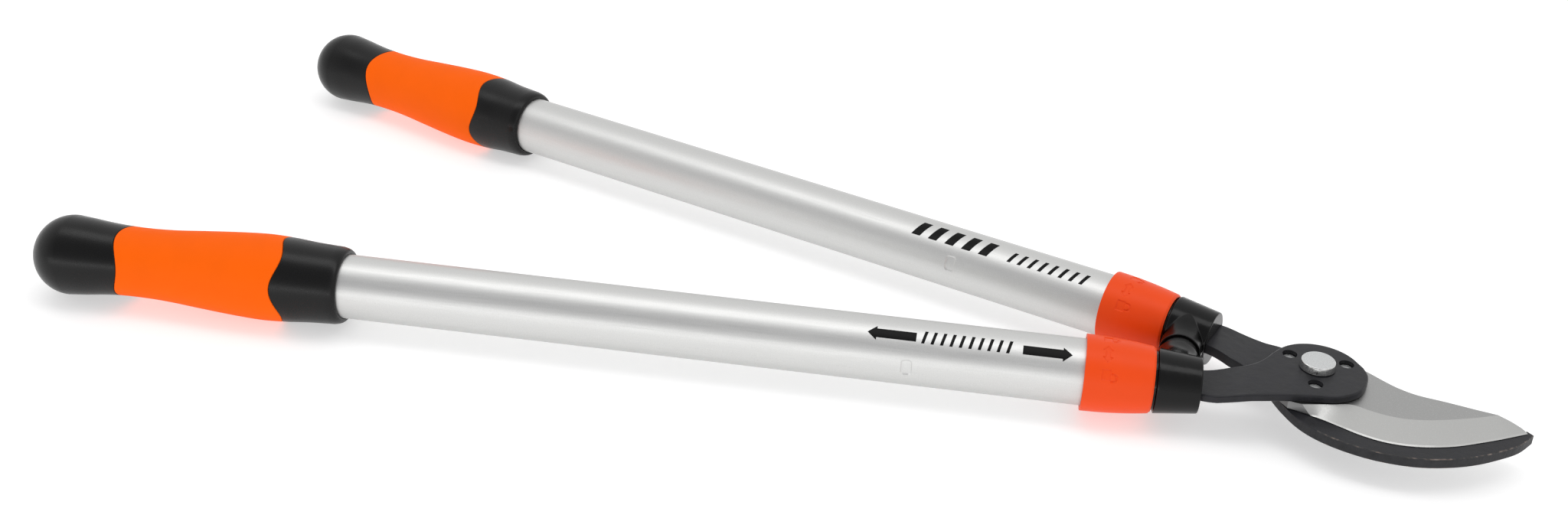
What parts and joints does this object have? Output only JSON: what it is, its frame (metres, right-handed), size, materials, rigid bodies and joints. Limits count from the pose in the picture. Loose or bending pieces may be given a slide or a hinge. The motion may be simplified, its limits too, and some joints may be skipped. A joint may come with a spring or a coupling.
{
  "type": "telescopic bypass loppers",
  "caption": "Two-handed bypass loppers with a curved blade passing a hooked counter-blade, and handles that telescope and lock with twist collars.",
  "frame": {"origin": "centre of the pivot bolt's flat top face, on the pivot axis", "axes": "+Z along the pivot axis, out of the bolt head; +X towards the blade's tip, with the handles running back along -X"},
  "size_m": [0.6774, 0.2814, 0.0406],
  "materials": {
    "strap_steel": "dark semi-gloss plate, slightly worn at the edges",
    "blade_steel": "ground steel with a fine satin grain",
    "zinc": "zinc-plated steel, satin",
    "bronze": "plain bearing bronze",
    "tube_aluminium": "satin anodised with a faint lengthwise grain",
    "ferrule_plastic": "glossy black moulding",
    "collar_plastic": "fine-grained orange-red moulding",
    "bush_plastic": "plain grey moulding",
    "grip_black": "satin black moulding",
    "grip_orange": "soft matte orange",
    "buffer_rubber": "matte black rubber"
  },
  "bodies": {
    "hook_side": {"hook_plate": "strap_steel", "pivot_bolt": "zinc", "pivot_washer": "zinc", "pivot_nut": "zinc", "far_ferrule": "ferrule_plastic", "far_buffer": "buffer_rubber", "far_tang_pin": "zinc", "far_inner_tube": "tube_aluminium", "far_guide_bush": "bush_plastic"},
    "blade_side": {"blade": "blade_steel", "blade_strap": "strap_steel", "blade_dowel_front": "zinc", "blade_dowel_back": "zinc", "blade_dowel_side": "zinc", "pivot_bush": "bronze", "near_ferrule": "ferrule_plastic", "near_buffer": "buffer_rubber", "near_tang_pin": "zinc", "near_inner_tube": "tube_aluminium", "near_guide_bush": "bush_plastic"},
    "near_handle": {"near_outer_tube": "tube_aluminium", "near_collet": "bush_plastic", "near_grip": "grip_black", "near_grip_band": "grip_orange"},
    "far_handle": {"far_outer_tube": "tube_aluminium", "far_collet": "bush_plastic", "far_grip": "grip_black", "far_grip_band": "grip_orange"},
    "near_lock": {"near_lock_collar": "collar_plastic"},
    "far_lock": {"far_lock_collar": "collar_plastic"}
  },
  "joints": [
    {"name": "blade_pivot", "type": "hinge", "parent": "hook_side", "child": "blade_side", "pos_m": [0, 0, -0.0096], "axis": [0, 0, 1], "range_deg": [0, 65]},
    {"name": "near_telescope", "type": "slide", "parent": "blade_side", "child": "near_handle", "axis": [-0.9816, -0.1908, 0], "range_m": [0, 0.3]},
    {"name": "far_telescope", "type": "slide", "parent": "hook_side", "child": "far_handle", "axis": [-0.9816, 0.1908, 0], "range_m": [0, 0.3]},
    {"name": "near_collar_twist", "type": "hinge", "parent": "near_handle", "child": "near_lock", "pos_m": [-0.08066, -0.03313, -0.0096], "axis": [-0.9816, -0.1908, 0], "range_deg": [0, 90]},
    {"name": "far_collar_twist", "type": "hinge", "parent": "far_handle", "child": "far_lock", "pos_m": [-0.08086, 0.02174, -0.0096], "axis": [-0.9816, 0.1908, 0], "range_deg": [0, 90]}
  ]
}
